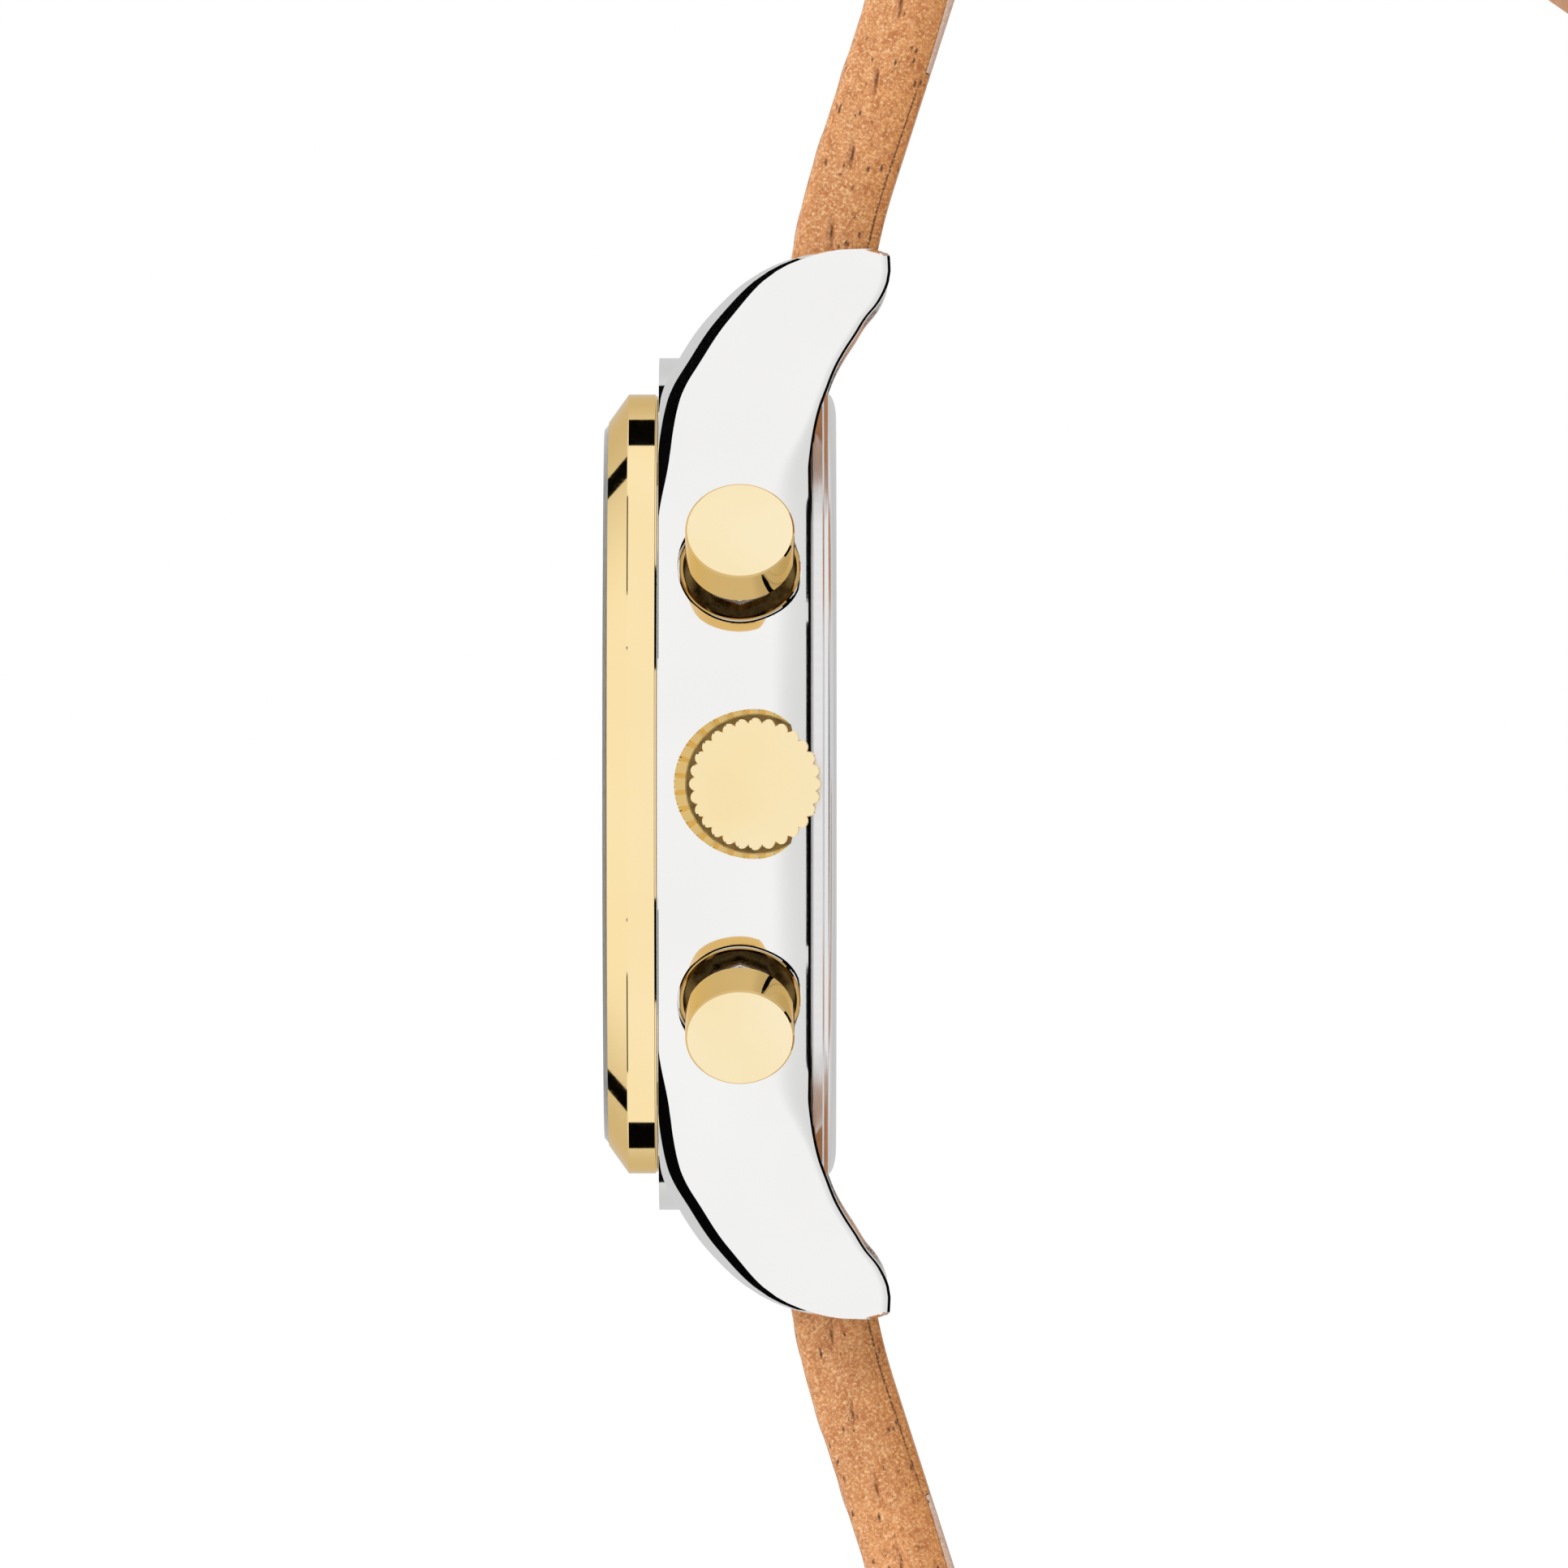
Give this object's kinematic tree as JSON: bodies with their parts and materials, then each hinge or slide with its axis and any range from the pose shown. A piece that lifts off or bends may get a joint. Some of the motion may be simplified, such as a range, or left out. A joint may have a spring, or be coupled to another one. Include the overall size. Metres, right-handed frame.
{
  "type": "chronograph wristwatch",
  "caption": "Round mechanical chronograph wristwatch with gold bezel, crown and pushers on a polished steel case, and an open leather strap with a pin buckle.",
  "frame": {"origin": "centre of the case back's flat outer face", "axes": "+X towards 3 o'clock, +Z towards 12 o'clock, +Y out of the case back, so the dial faces -Y"},
  "size_m": [0.0456, 0.072, 0.109],
  "materials": {
    "polished_steel": "polished",
    "polished_gold": "polished",
    "black_rubber": "matte",
    "movement_plate": "satin",
    "movement_steel": "polished",
    "movement_brass": "satin",
    "crystal_glass": "polished",
    "dial_enamel": "satin",
    "tan_leather": "matte",
    "strap_lining": "matte"
  },
  "bodies": {
    "case": {"case_middle": "polished_steel", "bezel": "polished_gold", "crystal": "crystal_glass", "crystal_gasket": "black_rubber", "case_back": "polished_steel", "case_back_gasket": "black_rubber", "crown_tube": "polished_steel", "start_pusher_tube": "polished_gold", "reset_pusher_tube": "polished_gold", "start_pusher_spring": "polished_steel", "reset_pusher_spring": "polished_steel", "dial_flange_ring": "polished_steel", "dial": "dial_enamel", "movement_holder_ring": "movement_plate", "mainplate": "movement_plate", "train_bridge": "movement_plate", "balance_cock": "movement_plate", "balance_spring": "movement_steel", "bridge_screw_1": "movement_steel", "bridge_screw_2": "movement_steel", "bridge_screw_3": "movement_steel", "cock_screw": "movement_steel", "spring_bar_12": "polished_steel", "spring_bar_6": "polished_steel"},
    "crown_carrier": {"crown_gasket": "black_rubber"},
    "crown": {"crown": "polished_gold", "winding_stem": "polished_steel"},
    "start_pusher": {"start_pusher": "polished_gold", "start_pusher_clip": "polished_steel"},
    "reset_pusher": {"reset_pusher": "polished_gold", "reset_pusher_clip": "polished_steel"},
    "seconds": {"fourth_wheel": "movement_brass", "small_seconds_hand": "polished_gold"},
    "minutes": {"centre_wheel": "movement_brass", "minute_hand": "polished_gold"},
    "hours": {"hour_wheel": "movement_brass", "hour_hand": "polished_gold"},
    "third_wheel": {"third_wheel": "movement_brass"},
    "barrel": {"barrel": "movement_brass"},
    "escape_wheel": {"escape_wheel": "movement_steel"},
    "pallet_fork": {"pallet_fork": "movement_steel"},
    "balance": {"balance_wheel": "movement_brass"},
    "chrono_seconds": {"chrono_wheel": "movement_brass", "chrono_seconds_hand": "polished_gold"},
    "minute_counter": {"minute_counter_wheel": "movement_brass", "minute_counter_hand": "polished_gold"},
    "hour_counter": {"hour_counter_wheel": "movement_brass", "hour_counter_hand": "polished_gold"},
    "column_wheel": {"column_wheel": "movement_steel"},
    "strap_12": {"strap_12_leather": "tan_leather", "strap_12_lining": "strap_lining", "fixed_keeper": "tan_leather"},
    "free_keeper": {"free_keeper": "tan_leather"},
    "buckle": {"buckle_frame": "polished_steel", "buckle_bar": "polished_steel"},
    "buckle_tang": {"buckle_tang": "polished_steel"},
    "strap_6": {"strap_6_leather": "tan_leather", "strap_6_lining": "strap_lining"}
  },
  "joints": [
    {"name": "crown_pull", "type": "slide", "parent": "case", "child": "crown_carrier", "axis": [1, 0, 0], "range_m": [0, 0.0012]},
    {"name": "crown_turn", "type": "hinge", "parent": "crown_carrier", "child": "crown", "pos_m": [0.0226, -0.00395, 0], "axis": [1, 0, 0], "continuous": true},
    {"name": "start_push", "type": "slide", "parent": "case", "child": "start_pusher", "axis": [-0.866, 0, -0.5], "range_m": [0, 0.001], "stiffness_N_per_m": 2000},
    {"name": "reset_push", "type": "slide", "parent": "case", "child": "reset_pusher", "axis": [-0.866, 0, 0.5], "range_m": [0, 0.001], "stiffness_N_per_m": 2000},
    {"name": "seconds_turn", "type": "hinge", "parent": "case", "child": "seconds", "pos_m": [-0.0076, 0, 0], "axis": [0, 1, 0], "continuous": true},
    {"name": "minutes_turn", "type": "hinge", "parent": "case", "child": "minutes", "pos_m": [0, 0, 0], "axis": [0, 1, 0], "continuous": true},
    {"name": "hours_turn", "type": "hinge", "parent": "case", "child": "hours", "pos_m": [0, 0, 0], "axis": [0, 1, 0], "continuous": true},
    {"name": "third_wheel_turn", "type": "hinge", "parent": "case", "child": "third_wheel", "pos_m": [-0.0038, 0, -0.0062], "axis": [0, 1, 0], "continuous": true},
    {"name": "barrel_turn", "type": "hinge", "parent": "case", "child": "barrel", "pos_m": [-0.002, 0, 0.00905], "axis": [0, 1, 0], "continuous": true},
    {"name": "escape_wheel_turn", "type": "hinge", "parent": "case", "child": "escape_wheel", "pos_m": [-0.0108, 0, -0.0039], "axis": [0, 1, 0], "continuous": true},
    {"name": "pallet_rock", "type": "hinge", "parent": "case", "child": "pallet_fork", "pos_m": [-0.0086, 0, -0.0066], "axis": [0, 1, 0], "range_deg": [-5, 5]},
    {"name": "balance_swing", "type": "hinge", "parent": "case", "child": "balance", "pos_m": [-0.0055, 0, -0.0098], "axis": [0, 1, 0], "range_deg": [-150, 150]},
    {"name": "chrono_seconds_turn", "type": "hinge", "parent": "case", "child": "chrono_seconds", "pos_m": [0, 0, 0], "axis": [0, 1, 0], "continuous": true},
    {"name": "minute_counter_turn", "type": "hinge", "parent": "case", "child": "minute_counter", "pos_m": [0.0076, 0, 0], "axis": [0, 1, 0], "continuous": true},
    {"name": "hour_counter_turn", "type": "hinge", "parent": "case", "child": "hour_counter", "pos_m": [0, 0, -0.0076], "axis": [0, 1, 0], "continuous": true},
    {"name": "column_wheel_turn", "type": "hinge", "parent": "case", "child": "column_wheel", "pos_m": [0.0065, 0, -0.008], "axis": [0, 1, 0], "continuous": true},
    {"name": "strap_12_swing", "type": "hinge", "parent": "case", "child": "strap_12", "pos_m": [0, -0.0005, 0.0237], "axis": [1, 0, 0], "range_deg": [-8, 70]},
    {"name": "strap_6_swing", "type": "hinge", "parent": "case", "child": "strap_6", "pos_m": [0, -0.0005, -0.0237], "axis": [-1, 0, 0], "range_deg": [-8, 70]},
    {"name": "keeper_slide", "type": "slide", "parent": "strap_12", "child": "free_keeper", "axis": [0, 0.8192, -0.5736], "range_m": [-0.007, 0.004]},
    {"name": "buckle_swing", "type": "hinge", "parent": "strap_12", "child": "buckle", "pos_m": [0, 0.05164, 0.03072], "axis": [1, 0, 0], "range_deg": [-45, 25]},
    {"name": "tang_swing", "type": "hinge", "parent": "buckle", "child": "buckle_tang", "pos_m": [0, 0.05164, 0.03072], "axis": [1, 0, 0], "range_deg": [0, 70]}
  ],
  "couplings": [
    {"joint": "minutes_turn", "follows": "seconds_turn", "ratio": 0.016667},
    {"joint": "hours_turn", "follows": "seconds_turn", "ratio": 0.0013889},
    {"joint": "third_wheel_turn", "follows": "seconds_turn", "ratio": -0.13333},
    {"joint": "barrel_turn", "follows": "seconds_turn", "ratio": -0.0027778},
    {"joint": "escape_wheel_turn", "follows": "seconds_turn", "ratio": -10},
    {"joint": "minute_counter_turn", "follows": "chrono_seconds_turn", "ratio": 0.033333},
    {"joint": "hour_counter_turn", "follows": "chrono_seconds_turn", "ratio": 0.0013889}
  ]
}
